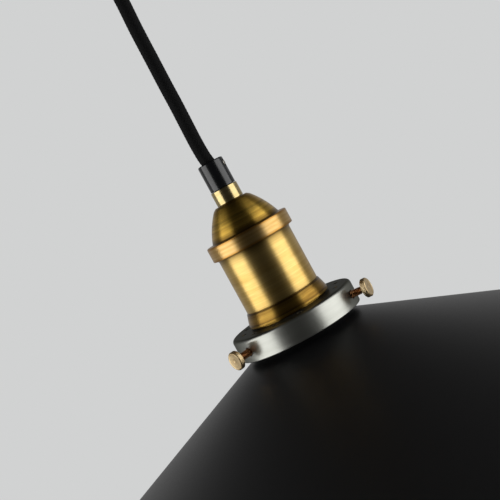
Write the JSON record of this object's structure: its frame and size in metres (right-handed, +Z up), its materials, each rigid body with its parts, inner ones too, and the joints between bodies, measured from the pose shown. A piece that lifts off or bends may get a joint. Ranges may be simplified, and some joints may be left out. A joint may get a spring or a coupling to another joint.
{
  "type": "pendant ceiling light",
  "caption": "Pendant ceiling light: black braided flex, antique brass lampholder, pewter fitter with thumb screws, wide matte black shade.",
  "frame": {"origin": "centre of the ceiling bracket's top face, which lies on the ceiling", "axes": "+Z up into the ceiling; the lamp hangs plumb along -Z; -Y is the front"},
  "size_m": [0.36, 0.36, 0.3368],
  "materials": {
    "zinc_steel": "zinc plated",
    "black_metal": "matte black powder coat",
    "black_grip": "satin black",
    "black_braid": "woven braid",
    "antique_brass": "brushed antique",
    "ring_brass": "brushed, warm",
    "pale_brass": "polished",
    "pewter": "satin pewter",
    "screw_brass": "turned",
    "nickel": "nickel plated",
    "porcelain": "glazed porcelain",
    "nylon": "natural nylon",
    "clear_glass": "clear",
    "black_glass": "black glass",
    "tungsten": "drawn wire",
    "brown_insulation": "extruded",
    "blue_insulation": "extruded",
    "green_insulation": "extruded"
  },
  "bodies": {
    "ceiling_mount": {"ceiling_bracket": "zinc_steel", "ceiling_canopy": "black_metal", "canopy_screw_1": "black_metal", "canopy_screw_2": "black_metal", "earth_screw": "screw_brass", "earth_ring_terminal": "nickel", "terminal_block": "nylon", "terminal_sleeve_1": "screw_brass", "terminal_sleeve_2": "screw_brass", "terminal_screw_1": "zinc_steel", "terminal_screw_2": "zinc_steel", "terminal_screw_3": "zinc_steel", "terminal_screw_4": "zinc_steel", "terminal_block_screw": "zinc_steel", "canopy_nipple": "zinc_steel", "canopy_nipple_nut": "zinc_steel", "ceiling_cord_grip": "black_grip", "ceiling_grip_screw": "nickel", "flex_ceiling_end": "black_braid", "core_live_top": "brown_insulation", "core_neutral_top": "blue_insulation", "core_earth_top": "green_insulation"},
    "hanging_flex": {"flex": "black_braid"},
    "lamp": {"lamp_cord_grip": "black_grip", "lamp_grip_screw": "nickel", "collar": "pale_brass", "holder_nipple": "zinc_steel", "holder_nipple_nut": "zinc_steel", "flex_lamp_end": "black_braid", "dome_cap": "antique_brass", "ring_nut": "ring_brass", "holder_shell": "antique_brass", "socket_body": "porcelain", "socket_screw_shell": "screw_brass", "centre_contact": "screw_brass", "live_terminal_screw": "screw_brass", "neutral_terminal_screw": "screw_brass", "earth_terminal_screw": "screw_brass", "core_live_lamp": "brown_insulation", "core_neutral_lamp": "blue_insulation", "core_earth_lamp": "green_insulation", "shade_fitter": "pewter", "fitter_ring_nut": "zinc_steel", "lamp_shade": "black_metal"},
    "thumb_stud_1": {"thumb_screw_stud_1": "screw_brass"},
    "thumb_head_1": {"thumb_screw_head_1": "screw_brass"},
    "thumb_stud_2": {"thumb_screw_stud_2": "screw_brass"},
    "thumb_head_2": {"thumb_screw_head_2": "screw_brass"},
    "thumb_stud_3": {"thumb_screw_stud_3": "screw_brass"},
    "thumb_head_3": {"thumb_screw_head_3": "screw_brass"},
    "bulb": {"bulb_glass": "clear_glass", "bulb_stem": "clear_glass", "bulb_filament": "tungsten"},
    "bulb_base": {"bulb_cap": "nickel", "bulb_insulator": "black_glass", "bulb_tip": "nickel"}
  },
  "joints": [
    {"name": "pendant_swing", "type": "hinge", "parent": "ceiling_mount", "child": "hanging_flex", "pos_m": [0, 0, -0.0447], "axis": [0, 1, 0], "range_deg": [-30, 30]},
    {"name": "lamp_tilt", "type": "hinge", "parent": "hanging_flex", "child": "lamp", "pos_m": [-0.0007, 0, -0.1627], "axis": [1, 0, 0], "range_deg": [-15, 15]},
    {"name": "thumb_screw_1_travel", "type": "slide", "parent": "lamp", "child": "thumb_stud_1", "axis": [-0.8192, -0.5736, 0], "range_m": [0, 0.0042]},
    {"name": "thumb_screw_1_turn", "type": "hinge", "parent": "thumb_stud_1", "child": "thumb_head_1", "pos_m": [-0.03277, -0.02294, -0.2533], "axis": [-0.8192, -0.5736, 0], "range_deg": [0, 2160.5]},
    {"name": "thumb_screw_2_travel", "type": "slide", "parent": "lamp", "child": "thumb_stud_2", "axis": [0.9063, -0.4226, 0], "range_m": [0, 0.0042]},
    {"name": "thumb_screw_2_turn", "type": "hinge", "parent": "thumb_stud_2", "child": "thumb_head_2", "pos_m": [0.03625, -0.0169, -0.2533], "axis": [0.9063, -0.4226, 0], "range_deg": [0, 2160.5]},
    {"name": "thumb_screw_3_travel", "type": "slide", "parent": "lamp", "child": "thumb_stud_3", "axis": [-0.0872, 0.9962, 0], "range_m": [0, 0.0042]},
    {"name": "thumb_screw_3_turn", "type": "hinge", "parent": "thumb_stud_3", "child": "thumb_head_3", "pos_m": [-0.00349, 0.03985, -0.2533], "axis": [-0.0872, 0.9962, 0], "range_deg": [0, 2160.5]},
    {"name": "bulb_travel", "type": "slide", "parent": "lamp", "child": "bulb", "axis": [0, 0, -1], "range_m": [0, 0.01634]},
    {"name": "bulb_turn", "type": "hinge", "parent": "bulb", "child": "bulb_base", "pos_m": [0, 0, -0.24], "axis": [0, 0, -1], "range_deg": [0, 1621.5]}
  ],
  "couplings": [
    {"joint": "thumb_screw_1_turn", "follows": "thumb_screw_1_travel", "rad_per_m": 8976},
    {"joint": "thumb_screw_2_turn", "follows": "thumb_screw_2_travel", "rad_per_m": 8976},
    {"joint": "thumb_screw_3_turn", "follows": "thumb_screw_3_travel", "rad_per_m": 8976},
    {"joint": "bulb_turn", "follows": "bulb_travel", "rad_per_m": 1731.4}
  ]
}
